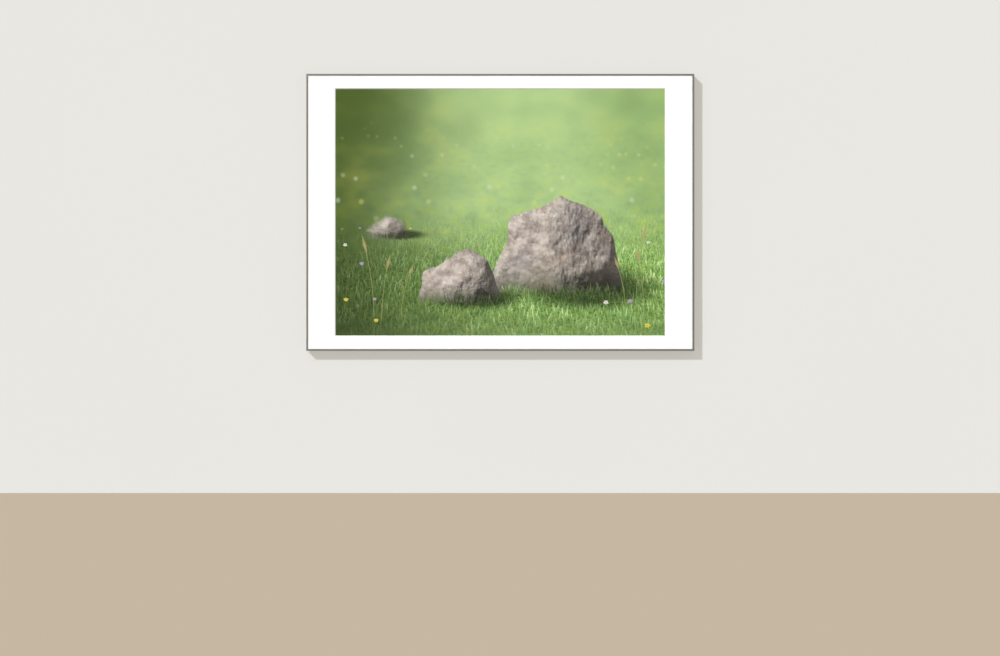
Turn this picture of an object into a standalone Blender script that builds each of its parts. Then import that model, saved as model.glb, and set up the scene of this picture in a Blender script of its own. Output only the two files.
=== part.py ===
"""A wall picture: four slim metal rails hold glass, a windowed mat, a printed sheet and a backing board.

Metres, +Z up. The wall is the plane y = 0, and the picture faces -Y. The origin is on the wall, behind the
middle of the hanger's toothed edge and level with its valleys, where the wall hook bears.
"""

import math

import bmesh
import bpy
from mathutils import Matrix, Vector

# Driving dimensions of the whole picture
FRAME_WIDTH = 1.000
FRAME_HEIGHT = 0.714
RAIL_DEPTH = 0.025
WALL_GAP = 0.004
WINDOW_WIDTH = 0.849
WINDOW_HEIGHT = 0.636
WINDOW_RISE = 0.0005  # the window's centre stands this far above the frame's centre
CLEARANCE = 0.0003  # between pieces that touch

# Cross-section of a rail: inward is measured from its outer side, depth from its front face
LIP_WIDTH = 0.005
RAIL_WALL = 0.0015
RAIL_BACK_WIDTH = 0.012
RIB_DEPTH = 0.0150
RIB_THICKNESS = 0.0014
SLOT_WIDTH = 0.0044
SLOT_INWARD = RAIL_BACK_WIDTH / 2
FRONT_ROUND = 0.0007
LIP_ROUND = 0.0003
BACK_ROUND = 0.0003
MITRE_SETBACK = CLEARANCE / math.sqrt(2)

# The sheets, from the front to the back
GLASS_THICKNESS = 0.0020
MAT_THICKNESS = 0.0024
PRINT_THICKNESS = 0.0010
BACKING_THICKNESS = 0.0030
SHEET_PLAY = 0.0005  # round the edges of the glass, mat and backing, inside the rails
PRINT_MARGIN_SIDE = 0.0115  # hidden by the mat on the left and right
PRINT_MARGIN_END = 0.0120  # hidden by the mat at the top and bottom

# Bowed strips that press the sheets against the rails' lips
SPRING_LENGTH = 0.062
SPRING_WIDTH = 0.014
SPRING_GAUGE = 0.0005
SPRING_INWARD = 0.0105  # its middle line, from the rail's outer side
SPRING_STEPS = 16
LONG_RAIL_SPRINGS = (-0.345, -0.125, 0.125, 0.345)  # from the rail's middle
SHORT_RAIL_SPRINGS = (-0.150, 0.150)

# Angle plates and their screws, which draw each mitred corner together
KEY_ARM = 0.046
KEY_THICKNESS = 0.0024
SET_SCREW_RADIUS = 0.0019
SET_SCREW_CHAMFER = 0.0003
SET_SCREW_ALONG = 0.026  # from the frame's corner
SET_SCREW_SINK = 0.0006  # its head lies this far below the rail's back
DRIVER_SLOT_WIDTH = 0.0007
DRIVER_SLOT_DEPTH = 0.0011

# The hanger, a plate across the middle of the top rail, with a window that takes the wall hook
HANGER_WIDTH = 0.110
HANGER_TOP = 0.001  # below the frame's top edge
HANGER_BOTTOM = 0.045
HANGER_THICKNESS = 0.0016
HANGER_CORNER = 0.005
HANGER_WINDOW_WIDTH = 0.078
HANGER_WINDOW_HEIGHT = 0.018
HANGER_WINDOW_CORNER = 0.003
HANGER_SCREWS = (-0.046, 0.0, 0.046)
HOOK_DROP = 0.018  # from the frame's top edge down to the valleys of the teeth
TOOTH_COUNT = 20
TOOTH_HEIGHT = 0.0020
HANGER_SCREW_RADIUS = 0.0017
HANGER_SCREW_HEAD_RADIUS = 0.0038
HANGER_SCREW_HEAD_HEIGHT = 0.0015
HANGER_SCREW_CROWN = 0.0006
HANGER_SCREW_TIP = 0.0010  # past its nut
HANGER_NUT_RADIUS = 0.0040
HANGER_NUT_HEIGHT = 0.0024
CROSS_RECESS_LENGTH = 0.0044
CROSS_RECESS_WIDTH = 0.0008
CROSS_RECESS_DEPTH = 0.0011

# Soft pads between the rails and the wall
BUMPER_RADIUS = 0.0056
BUMPER_FACE_RADIUS = 0.0042
BUMPER_FROM_CORNER = 0.085

ROUND_SEGMENTS = 24
FRONT_Y = -(RAIL_DEPTH + WALL_GAP)
CENTRE_Z = HOOK_DROP - FRAME_HEIGHT / 2
HALF_WIDTH = FRAME_WIDTH / 2
HALF_HEIGHT = FRAME_HEIGHT / 2
QUARTER_TURN = math.pi / 2
SIDES = ("top", "right", "bottom", "left")  # each a quarter turn about Y from the last


def clear_scene():
    for obj in list(bpy.data.objects):
        bpy.data.objects.remove(obj)


def new_material(name, colour, roughness, metallic=0.0, transmission=0.0):
    material = bpy.data.materials.new(name)
    material.use_nodes = True
    shader = material.node_tree.nodes["Principled BSDF"]
    shader.inputs["Base Color"].default_value = (*colour, 1.0)
    shader.inputs["Roughness"].default_value = roughness
    shader.inputs["Metallic"].default_value = metallic
    shader.inputs["Transmission Weight"].default_value = transmission
    return material


def add_object(name, data, material, parent, location=(0, 0, 0), turns=0, upright=False):
    """A piece turned about Y by quarter turns. An upright one, drawn in X and Y, stands in X and Z."""
    obj = bpy.data.objects.new(name, data)
    bpy.context.scene.collection.objects.link(obj)
    if material.name not in data.materials:
        data.materials.append(material)
    rotation = Matrix.Rotation(turns * QUARTER_TURN, 4, "Y")
    if upright:
        rotation = rotation @ Matrix.Rotation(QUARTER_TURN, 4, "X")
    obj.parent = parent
    obj.rotation_euler = rotation.to_euler()
    obj.location = location
    return obj


def finished(mesh, smooth_angle=35):
    """The mesh with its faces pointing out, and shaded smooth across shallow edges."""
    work = bmesh.new()
    work.from_mesh(mesh)
    bmesh.ops.recalc_face_normals(work, faces=work.faces)
    work.to_mesh(mesh)
    work.free()
    mesh.shade_smooth()
    mesh.set_sharp_from_angle(angle=math.radians(smooth_angle))
    return mesh


def arc(centre, radius, start, end, steps):
    """Points along an arc, with its start and end in degrees."""
    angles = [math.radians(start + (end - start) * i / steps) for i in range(steps + 1)]
    return [(centre[0] + radius * math.cos(a), centre[1] + radius * math.sin(a)) for a in angles]


def rounded_rectangle(left, bottom, right, top, radius, steps=5):
    points = arc((right - radius, top - radius), radius, 0, 90, steps)
    points += arc((left + radius, top - radius), radius, 90, 180, steps)
    points += arc((left + radius, bottom + radius), radius, 180, 270, steps)
    points += arc((right - radius, bottom + radius), radius, 270, 360, steps)
    return points


def plate(name, outlines, thickness):
    """A flat plate in X and Y, its middle at z = 0. The first outline is its rim, the rest its holes."""
    curve = bpy.data.curves.new(name, "CURVE")
    curve.dimensions = "2D"
    curve.fill_mode = "BOTH"
    curve.extrude = thickness / 2
    for outline in outlines:
        spline = curve.splines.new("POLY")
        spline.points.add(len(outline) - 1)
        for point, (x, y) in zip(spline.points, outline):
            point.co = (x, y, 0, 1)
        spline.use_cyclic_u = True
    return curve


def box_mesh(name, low, high):
    mesh = bpy.data.meshes.new(name)
    work = bmesh.new()
    size = Vector(high) - Vector(low)
    middle = (Vector(high) + Vector(low)) / 2
    matrix = Matrix.Translation(middle) @ Matrix.Diagonal((*size, 1.0))
    bmesh.ops.create_cube(work, size=1.0, matrix=matrix)
    work.to_mesh(mesh)
    work.free()
    return mesh


def turned(name, profile, segments=ROUND_SEGMENTS):
    """A solid turned about Y from (depth, radius) pairs, the first and last of them on the axis."""
    mesh = bpy.data.meshes.new(name)
    work = bmesh.new()
    line = [work.verts.new((radius, depth, 0)) for depth, radius in profile]
    edges = [work.edges.new(pair) for pair in zip(line, line[1:])]
    bmesh.ops.spin(
        work, geom=line + edges, cent=(0, 0, 0), axis=(0, 1, 0), angle=2 * math.pi, steps=segments,
        use_merge=True,
    )
    bmesh.ops.remove_doubles(work, verts=work.verts, dist=1e-6)
    work.to_mesh(mesh)
    work.free()
    return finished(mesh)


def cut(mesh, *cutters):
    """The mesh with each cutter taken away from it."""
    scene = bpy.context.scene.collection
    body = bpy.data.objects.new(mesh.name + "_uncut", mesh)
    scene.objects.link(body)
    tools = [bpy.data.objects.new(cutter.name, cutter) for cutter in cutters]
    for tool in tools:
        scene.objects.link(tool)
        boolean = body.modifiers.new(tool.name, "BOOLEAN")
        boolean.operation = "DIFFERENCE"
        boolean.object = tool
    graph = bpy.context.evaluated_depsgraph_get()
    result = bpy.data.meshes.new_from_object(body.evaluated_get(graph), depsgraph=graph)
    for helper in (body, *tools):
        bpy.data.objects.remove(helper)
    return finished(result)


# Rails

def rail_outline():
    """The rail's cross-section as (inward, depth) points, starting at its outer front edge."""
    near_slot = SLOT_INWARD - SLOT_WIDTH / 2
    far_slot = SLOT_INWARD + SLOT_WIDTH / 2
    channel_front = RIB_DEPTH + RIB_THICKNESS
    channel_back = RAIL_DEPTH - RIB_THICKNESS
    channel_far = RAIL_BACK_WIDTH - RAIL_WALL
    points = arc((FRONT_ROUND, FRONT_ROUND), FRONT_ROUND, 180, 270, 4)
    points += arc((LIP_WIDTH - LIP_ROUND, LIP_ROUND), LIP_ROUND, 270, 360, 3)
    points += [(LIP_WIDTH, RAIL_WALL), (RAIL_WALL, RAIL_WALL), (RAIL_WALL, RIB_DEPTH)]
    points += arc((RAIL_BACK_WIDTH - BACK_ROUND, RIB_DEPTH + BACK_ROUND), BACK_ROUND, 270, 360, 2)
    points += arc((RAIL_BACK_WIDTH - BACK_ROUND, RAIL_DEPTH - BACK_ROUND), BACK_ROUND, 0, 90, 2)
    points += [(far_slot, RAIL_DEPTH), (far_slot, channel_back), (channel_far, channel_back)]
    points += [(channel_far, channel_front), (RAIL_WALL, channel_front), (RAIL_WALL, channel_back)]
    points += [(near_slot, channel_back), (near_slot, RAIL_DEPTH)]
    points += arc((BACK_ROUND, RAIL_DEPTH - BACK_ROUND), BACK_ROUND, 90, 180, 2)
    return points


def rail_mesh(name, length, half_span):
    """A rail along X with mitred ends, its outer side at z = half_span."""
    outline = rail_outline()
    mesh = bpy.data.meshes.new(name)
    work = bmesh.new()
    rings = []
    for side in (-1, 1):
        reach = length / 2 - MITRE_SETBACK
        rings.append([work.verts.new((side * (reach - a), d, half_span - a)) for a, d in outline])
    count = len(outline)
    for i in range(count):
        j = (i + 1) % count
        work.faces.new((rings[0][i], rings[0][j], rings[1][j], rings[1][i]))
    work.faces.new(rings[0])
    work.faces.new(rings[1])
    work.to_mesh(mesh)
    work.free()
    return finished(mesh)


def add_rails(centre, metal):
    for turns, side in enumerate(SIDES):
        upright = turns % 2
        length = FRAME_HEIGHT if upright else FRAME_WIDTH
        half_span = HALF_WIDTH if upright else HALF_HEIGHT
        name = f"rail_{side}"
        add_object(name, rail_mesh(name, length, half_span), metal, centre, turns=turns)


# Sheets

def sheet_layout():
    """The depth of each sheet's front face, from the rails' lips backwards."""
    glass = RAIL_WALL + CLEARANCE
    mat = glass + GLASS_THICKNESS + CLEARANCE
    printed = mat + MAT_THICKNESS + CLEARANCE
    backing = printed + PRINT_THICKNESS + CLEARANCE
    return glass, mat, printed, backing


def rectangle_loop(work, half_width, half_height, depth, rise=0.0):
    corners = ((-1, -1), (1, -1), (1, 1), (-1, 1))
    return [work.verts.new((sx * half_width, depth, rise + sz * half_height)) for sx, sz in corners]


def mat_mesh(name, half_width, half_height, depth):
    """A board with a window whose rim is cut at 45 degrees, wider at the front."""
    mesh = bpy.data.meshes.new(name)
    work = bmesh.new()
    back = depth + MAT_THICKNESS
    half_opening = (WINDOW_WIDTH / 2, WINDOW_HEIGHT / 2)
    loops = [
        rectangle_loop(work, half_width, half_height, back),
        rectangle_loop(work, half_width, half_height, depth),
        rectangle_loop(
            work, half_opening[0] + MAT_THICKNESS, half_opening[1] + MAT_THICKNESS, depth, WINDOW_RISE
        ),
        rectangle_loop(work, *half_opening, back, WINDOW_RISE),
    ]
    for i, loop in enumerate(loops):
        following = loops[(i + 1) % len(loops)]
        for j in range(4):
            k = (j + 1) % 4
            work.faces.new((loop[j], loop[k], following[k], following[j]))
    work.to_mesh(mesh)
    work.free()
    return finished(mesh)


def add_sheets(centre, materials):
    half_width = HALF_WIDTH - RAIL_WALL - SHEET_PLAY
    half_height = HALF_HEIGHT - RAIL_WALL - SHEET_PLAY
    glass, mat, printed, backing = sheet_layout()
    print_half_width = WINDOW_WIDTH / 2 + PRINT_MARGIN_SIDE
    print_half_height = WINDOW_HEIGHT / 2 + PRINT_MARGIN_END

    def slab(name, front, thickness, half_w, half_h, material, rise=0.0):
        low = (-half_w, front, rise - half_h)
        high = (half_w, front + thickness, rise + half_h)
        add_object(name, box_mesh(name, low, high), material, centre)

    slab("glass_pane", glass, GLASS_THICKNESS, half_width, half_height, materials["glass"])
    slab(
        "printed_sheet", printed, PRINT_THICKNESS, print_half_width, print_half_height,
        materials["paper"], WINDOW_RISE,
    )
    slab("backing_board", backing, BACKING_THICKNESS, half_width, half_height, materials["hardboard"])
    mat_board = mat_mesh("mat_board", half_width, half_height, mat)
    add_object("mat_board", mat_board, materials["mat"], centre)


# Springs

def spring_outline(bow):
    """A strip seen edge on, as (along, depth): its middle bears on the backing, its ends on the rib."""
    def sag(t):
        return bow * (1 - abs(t) ** 1.6)

    stations = [2 * i / SPRING_STEPS - 1 for i in range(SPRING_STEPS + 1)]
    half = SPRING_LENGTH / 2
    front_side = [(half * t, -sag(t)) for t in stations]
    back_side = [(half * t, SPRING_GAUGE - sag(t)) for t in reversed(stations)]
    return front_side + back_side


def add_springs(centre, steel):
    *_, backing = sheet_layout()
    ends = RIB_DEPTH - CLEARANCE - SPRING_GAUGE
    middle = backing + BACKING_THICKNESS + CLEARANCE
    strip = plate("spring", [spring_outline(ends - middle)], SPRING_WIDTH)
    for turns, side in enumerate(SIDES):
        upright = turns % 2
        half_span = HALF_WIDTH if upright else HALF_HEIGHT
        turn = Matrix.Rotation(turns * QUARTER_TURN, 3, "Y")
        for number, along in enumerate(SHORT_RAIL_SPRINGS if upright else LONG_RAIL_SPRINGS, start=1):
            place = turn @ Vector((along, ends, half_span - SPRING_INWARD))
            add_object(f"spring_{side}_{number}", strip, steel, centre, place, turns)


# Corners

def circle(x, y, radius, segments=16):
    return arc((x, y), radius, 0, 360 - 360 / segments, segments - 1)


def key_curve():
    """An angle plate whose outer corner is at the frame's own corner, drawn for the top left."""
    near = RAIL_WALL + CLEARANCE
    far = RAIL_BACK_WIDTH - RAIL_WALL - CLEARANCE
    rim = [(near, -near), (KEY_ARM, -near), (KEY_ARM, -far)]
    rim += [(far, -far), (far, -KEY_ARM), (near, -KEY_ARM)]
    hole = SET_SCREW_RADIUS + CLEARANCE
    holes = [circle(SET_SCREW_ALONG, -SLOT_INWARD, hole), circle(SLOT_INWARD, -SET_SCREW_ALONG, hole)]
    return plate("angle_plate", [rim, *holes], KEY_THICKNESS)


def set_screw_mesh():
    front = RIB_DEPTH + RIB_THICKNESS + CLEARANCE
    back = RAIL_DEPTH - SET_SCREW_SINK
    profile = [
        (front, 0),
        (front, SET_SCREW_RADIUS - SET_SCREW_CHAMFER),
        (front + SET_SCREW_CHAMFER, SET_SCREW_RADIUS),
        (back - SET_SCREW_CHAMFER, SET_SCREW_RADIUS),
        (back, SET_SCREW_RADIUS - SET_SCREW_CHAMFER),
        (back, 0),
    ]
    half, reach = DRIVER_SLOT_WIDTH / 2, 2 * SET_SCREW_RADIUS
    slot = box_mesh("slot_cutter", (-reach, back - DRIVER_SLOT_DEPTH, -half), (reach, back + reach, half))
    return cut(turned("set_screw", profile), slot)


def add_corners(centre, steel):
    corners = (
        ("top_left", -HALF_WIDTH, HALF_HEIGHT),
        ("top_right", HALF_WIDTH, HALF_HEIGHT),
        ("bottom_right", HALF_WIDTH, -HALF_HEIGHT),
        ("bottom_left", -HALF_WIDTH, -HALF_HEIGHT),
    )
    key_middle = RAIL_DEPTH - RIB_THICKNESS - CLEARANCE - KEY_THICKNESS / 2
    key = key_curve()
    screw = set_screw_mesh()
    for turns, (corner, x, z) in enumerate(corners):
        add_object(f"key_{corner}", key, steel, centre, (x, key_middle, z), turns, upright=True)
        turn = Matrix.Rotation(turns * QUARTER_TURN, 3, "Y")
        for number, (along, down) in enumerate(
            ((SET_SCREW_ALONG, SLOT_INWARD), (SLOT_INWARD, SET_SCREW_ALONG)), start=1
        ):
            place = Vector((x, 0, z)) + turn @ Vector((along, 0, -down))
            add_object(f"key_screw_{corner}_{number}", screw, steel, centre, place, turns + number - 1)


# Hanger

def hanger_window():
    """The hanger's window, as (x, y) from the middle of the frame's top edge, with teeth along its top."""
    half = HANGER_WINDOW_WIDTH / 2
    pitch = HANGER_WINDOW_WIDTH / TOOTH_COUNT
    low = -(HOOK_DROP + HANGER_WINDOW_HEIGHT)
    corner = HANGER_WINDOW_CORNER
    points = arc((-half + corner, low + corner), corner, 180, 270, 4)
    points += arc((half - corner, low + corner), corner, 270, 360, 4)
    points.append((half, -HOOK_DROP))
    for i in range(TOOTH_COUNT):
        valley = half - i * pitch
        points.append((valley - pitch / 2, -HOOK_DROP - TOOTH_HEIGHT))
        points.append((valley - pitch, -HOOK_DROP))
    return points


def hanger_curve():
    half = HANGER_WIDTH / 2
    rim = rounded_rectangle(-half, -HANGER_BOTTOM, half, -HANGER_TOP, HANGER_CORNER)
    holes = [circle(x, -SLOT_INWARD, HANGER_SCREW_RADIUS + CLEARANCE) for x in HANGER_SCREWS]
    return plate("hanger", [rim, hanger_window(), *holes], HANGER_THICKNESS)


def hanger_screw_mesh():
    """A pan-head screw with its round nut, which slides in the rail's channel."""
    nut_back = RAIL_DEPTH - RIB_THICKNESS - CLEARANCE
    nut_front = nut_back - HANGER_NUT_HEIGHT
    head_front = RAIL_DEPTH + HANGER_THICKNESS + 2 * CLEARANCE
    head_back = head_front + HANGER_SCREW_HEAD_HEIGHT
    profile = [
        (nut_front - HANGER_SCREW_TIP, 0),
        (nut_front - HANGER_SCREW_TIP, HANGER_SCREW_RADIUS),
        (nut_front, HANGER_SCREW_RADIUS),
        (nut_front, HANGER_NUT_RADIUS),
        (nut_back, HANGER_NUT_RADIUS),
        (nut_back, HANGER_SCREW_RADIUS),
        (head_front, HANGER_SCREW_RADIUS),
        (head_front, HANGER_SCREW_HEAD_RADIUS),
        (head_back - HANGER_SCREW_CROWN, HANGER_SCREW_HEAD_RADIUS),
        (head_back - HANGER_SCREW_CROWN / 4, HANGER_SCREW_HEAD_RADIUS - HANGER_SCREW_CROWN),
        (head_back, 0),
    ]
    arm, half = CROSS_RECESS_LENGTH / 2, CROSS_RECESS_WIDTH / 2
    floor, above = head_back - CROSS_RECESS_DEPTH, head_back + CROSS_RECESS_DEPTH
    across = box_mesh("recess_cutter_x", (-arm, floor, -half), (arm, above, half))
    down = box_mesh("recess_cutter_z", (-half, floor, -arm), (half, above, arm))
    return cut(turned("hanger_screw", profile), across, down)


def add_hanger(centre, steel):
    middle = RAIL_DEPTH + CLEARANCE + HANGER_THICKNESS / 2
    add_object("hanger", hanger_curve(), steel, centre, (0, middle, HALF_HEIGHT), upright=True)
    screw = hanger_screw_mesh()
    for number, x in enumerate(HANGER_SCREWS, start=1):
        place = (x, 0, HALF_HEIGHT - SLOT_INWARD)
        add_object(f"hanger_screw_{number}", screw, steel, centre, place)


# Bumpers

def bumper_mesh():
    front = RAIL_DEPTH + CLEARANCE
    back = RAIL_DEPTH + WALL_GAP
    round_off = BUMPER_RADIUS - BUMPER_FACE_RADIUS
    profile = [(front, 0), (front, BUMPER_RADIUS)]
    profile += [
        (back - round_off + round_off * math.sin(a), BUMPER_FACE_RADIUS + round_off * math.cos(a))
        for a in (QUARTER_TURN * i / 4 for i in range(5))
    ]
    profile.append((back, 0))
    return turned("bumper", profile)


def add_bumpers(centre, rubber):
    bumper = bumper_mesh()
    x = HALF_WIDTH - BUMPER_FROM_CORNER
    z = HALF_HEIGHT - SLOT_INWARD
    for row, sz in (("top", 1), ("bottom", -1)):
        for side, sx in (("left", -1), ("right", 1)):
            add_object(f"bumper_{row}_{side}", bumper, rubber, centre, (sx * x, 0, sz * z))


def main():
    clear_scene()
    metal = new_material("anodised_metal", (0.25, 0.24, 0.21), 0.38, metallic=1.0)
    steel = new_material("zinc_plated_steel", (0.55, 0.55, 0.53), 0.35, metallic=1.0)
    spring_steel = new_material("spring_steel", (0.12, 0.13, 0.16), 0.35, metallic=1.0)
    rubber = new_material("rubber", (0.03, 0.03, 0.03), 0.75)
    sheets = {
        "glass": new_material("glass", (0.95, 0.98, 0.96), 0.02, transmission=1.0),
        "mat": new_material("mat_board", (0.93, 0.93, 0.91), 0.9),
        "paper": new_material("printed_paper", (0.30, 0.42, 0.16), 0.6),
        "hardboard": new_material("hardboard", (0.23, 0.13, 0.07), 0.8),
    }
    centre = bpy.data.objects.new("picture_front_centre", None)
    centre.location = (0, FRONT_Y, CENTRE_Z)
    bpy.context.scene.collection.objects.link(centre)
    add_rails(centre, metal)
    add_sheets(centre, sheets)
    add_springs(centre, spring_steel)
    add_corners(centre, steel)
    add_hanger(centre, steel)
    add_bumpers(centre, rubber)


main()
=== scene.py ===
"""Looks of a framed wall print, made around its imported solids.

Metres, +Z up. The wall is the plane y = 0, and the picture faces -Y.
"""

import math
import random

import bmesh
import bpy
from mathutils import Matrix, Vector


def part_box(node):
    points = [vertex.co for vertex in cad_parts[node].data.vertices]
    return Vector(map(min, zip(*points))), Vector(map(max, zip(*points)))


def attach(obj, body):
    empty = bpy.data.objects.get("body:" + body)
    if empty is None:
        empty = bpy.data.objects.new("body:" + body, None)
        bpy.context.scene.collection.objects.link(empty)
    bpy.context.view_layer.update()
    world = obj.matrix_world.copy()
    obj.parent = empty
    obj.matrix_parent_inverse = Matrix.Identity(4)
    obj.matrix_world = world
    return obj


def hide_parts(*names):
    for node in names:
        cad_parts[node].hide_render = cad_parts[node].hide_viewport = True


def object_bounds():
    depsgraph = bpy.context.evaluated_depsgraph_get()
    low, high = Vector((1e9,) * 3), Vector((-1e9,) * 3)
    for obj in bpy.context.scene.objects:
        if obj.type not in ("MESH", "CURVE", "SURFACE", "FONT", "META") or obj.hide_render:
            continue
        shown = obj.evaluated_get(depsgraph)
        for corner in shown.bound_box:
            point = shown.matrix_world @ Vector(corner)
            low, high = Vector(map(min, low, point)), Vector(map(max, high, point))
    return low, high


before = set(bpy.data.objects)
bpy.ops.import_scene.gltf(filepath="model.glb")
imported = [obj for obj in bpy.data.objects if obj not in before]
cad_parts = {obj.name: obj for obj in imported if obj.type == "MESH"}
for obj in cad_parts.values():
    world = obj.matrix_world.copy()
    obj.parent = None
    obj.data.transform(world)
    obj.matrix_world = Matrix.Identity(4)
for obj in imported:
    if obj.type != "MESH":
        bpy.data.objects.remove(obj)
cad_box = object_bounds()

# The photograph, in pixels, and where the picture frame stands in it
PHOTO_WIDTH, PHOTO_HEIGHT = 1000, 656
FRAME_PIXELS = 388.1  # the picture frame's width
FRAME_CENTRE_PIXEL = (500.3, 212.4)
FLOOR_LINE_PIXEL = 493
LENS = 85.0  # in millimetres, as is the sensor
SENSOR = 36.0

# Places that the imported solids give
FRAME_LOW, FRAME_HIGH = (Vector(corner) for corner in cad_box)
CENTRE = (FRAME_LOW + FRAME_HIGH) / 2
FRONT_Y = FRAME_LOW.y
METRES_PER_PIXEL = (FRAME_HIGH.x - FRAME_LOW.x) / FRAME_PIXELS
PRINT_LOW, PRINT_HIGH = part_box("printed_sheet")
PRINT_CENTRE = (PRINT_LOW + PRINT_HIGH) / 2

# Meshes
WELD_DISTANCE = 0.000001
FLAT_NORMAL = 0.9999  # how much of its normal lies along Y on a face that is shaded flat
TURNED_SIDES = 48
INNER_RADIUS = 0.0006  # of the innermost ring of a turned end

# Springs
SPRING_GAUGE = 0.0005
SPRING_CORNER = 0.0035
SPRING_EDGE = 0.00018
SPRING_STATIONS = 56
SPRING_BEND = 1.6  # the power of the distance from its middle that its bow follows
SPRING_FOOT = 0.0022  # the length of strip at each end that turns up
SPRING_FOOT_LIFT = 0.0003

# The hanger and its screws
HANGER_CORNER = 0.005
HANGER_WINDOW_WIDTH = 0.078
HANGER_WINDOW_HEIGHT = 0.018
HANGER_WINDOW_CORNER = 0.003
HANGER_EDGE = 0.00025
TOOTH_COUNT = 20
TOOTH_HEIGHT = 0.0020
TOOTH_ROUND = 0.0003
SCREW_HOLE_RADIUS = 0.0020
SCREW_SHANK_RADIUS = 0.0017
SCREW_HEAD_RADIUS = 0.0038
SCREW_HEAD_EDGE = 0.0002
SCREW_CROWN = 0.0009
SCREW_FLAT = 0.25  # of the head's radius, flat on top
SCREW_TIP = 0.0010  # in front of its nut
HANGER_GAP = 0.0003
NUT_RADIUS = 0.0040
NUT_HEIGHT = 0.0024
NUT_EDGE = 0.0003
RECESS_LENGTH = 0.0044
RECESS_WIDTH = 0.0008
RECESS_DEPTH = 0.0011

# Bumpers
BUMPER_EDGE = 0.0014
BUMPER_RIM = 0.0003
BUMPER_STEPS = 8  # of the curve round its back edge
BUMPER_DIMPLE_RADIUS = 0.0022
BUMPER_DIMPLE_DEPTH = 0.0002

# Glass, and the mat with its window
GLASS_COAT_IOR = 1.16
WINDOW_HEIGHT = 0.636
WINDOW_SHAPE = 4 / 3
MAT_CORE = 0.003  # how far out from the window's edge its cut core shows

# The printed sheet and its texture
PRINT_EDGE = 0.0002
PRINT_EDGE_STRIP = 0.02  # of the texture, kept for the back and the edges
PRINT_STRIP_USED = 0.8  # of that strip, so that it stays clear of the picture

# The picture, in units of the window's height: its x runs from 0 to 4/3 and its y from 0 to 1
PRINT_LIGHT = 1.30  # the light that falls on the print, taken off its colours so that they look as written
VANISHING_Y = 1.25  # the height at which the ground would meet the sky
MIDDLE_X = WINDOW_SHAPE / 2
FOCUS_Y = 0.22  # where the grass is sharpest
SUN_WAY = (-0.64, 0.64, 0.42)  # towards the light, in the picture
BLADE_LENGTH, BLADE_WIDTH, BLADE_CURL = 1.8, 0.23, 0.55  # in rows
FAR_GRASS_ROWS, NEAR_GRASS_ROWS = 66.0, 50.0
GRASS_ROW_SHIFT = 7.31  # of each row against the one before it, in columns
FLOWER_ROWS = 13.0
FLOWER_ROW_SHIFT = 3.7
FLOWER_RADIUS = 0.12  # in rows
FLOWER_SHARE = 0.22  # of the cells
OUTER_FACETS, INNER_FACETS = 8, 6  # of a boulder
BOULDERS = (
    # centre x, base y, half width, height, how far out of focus, seed
    (0.215, 0.405, 0.105, 0.095, 0.55, 23),
    (0.900, 0.190, 0.290, 0.42, 0.05, 11),
    (0.500, 0.150, 0.180, 0.225, 0.05, 5),
)
STALKS = (
    # foot x, foot y, height, how far its tip leans
    (0.155, 0.05, 0.36, -0.050),
    (0.185, 0.04, 0.29, 0.035),
    (0.265, 0.07, 0.22, 0.050),
    (1.215, 0.06, 0.40, 0.045),
    (1.250, 0.05, 0.31, -0.030),
    (1.175, 0.08, 0.24, -0.045),
)

# The room and its light, with angles in degrees
WINDOW_LIGHT_WAY = Vector((0.8, 1.0, -0.8))
WINDOW_LIGHT_STRENGTH = 3.56
WINDOW_LIGHT_ANGLE = 3.0
WINDOW_LIGHT_COLOUR = (0.97, 0.99, 1.0)
BACK_LIGHT_WAY = Vector((0.75, -1.0, 0.0))
BACK_LIGHT_STRENGTH = 1.4
BACK_LIGHT_ANGLE = 20.0
BACK_LIGHT_COLOUR = (1.0, 1.0, 1.0)
FILL_STRENGTH = 0.55
FILL_COLOUR = (1.0, 0.985, 0.965, 1.0)
ROOM_HALF_WIDTH = 12.0
ROOM_HEIGHT = 9.0
WALL_CLEARANCE = 0.0005  # between the bumpers and the wall
WALL_COLOUR = (0.334, 0.341, 0.353, 1.0)
WALL_GLOW = (0.386, 0.3645, 0.3143, 1.0)


def srgb(red, green, blue):
    """A linear colour from screen values of 0 to 255."""
    def linear(value):
        value /= 255
        return value / 12.92 if value <= 0.04045 else ((value + 0.055) / 1.055) ** 2.4

    return (linear(red), linear(green), linear(blue), 1.0)


# Node trees written as sums

class Field:
    """A number, colour or vector that varies over a surface: one output of a material's node tree."""

    def __init__(self, graph, socket):
        self.graph = graph
        self.socket = socket

    def __add__(self, other):
        return self.graph.math("ADD", self, other)

    def __radd__(self, other):
        return self.graph.math("ADD", other, self)

    def __sub__(self, other):
        return self.graph.math("SUBTRACT", self, other)

    def __rsub__(self, other):
        return self.graph.math("SUBTRACT", other, self)

    def __mul__(self, other):
        return self.graph.math("MULTIPLY", self, other)

    def __rmul__(self, other):
        return self.graph.math("MULTIPLY", other, self)

    def __truediv__(self, other):
        return self.graph.math("DIVIDE", self, other)

    def __abs__(self):
        return self.graph.math("ABSOLUTE", self)


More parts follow.
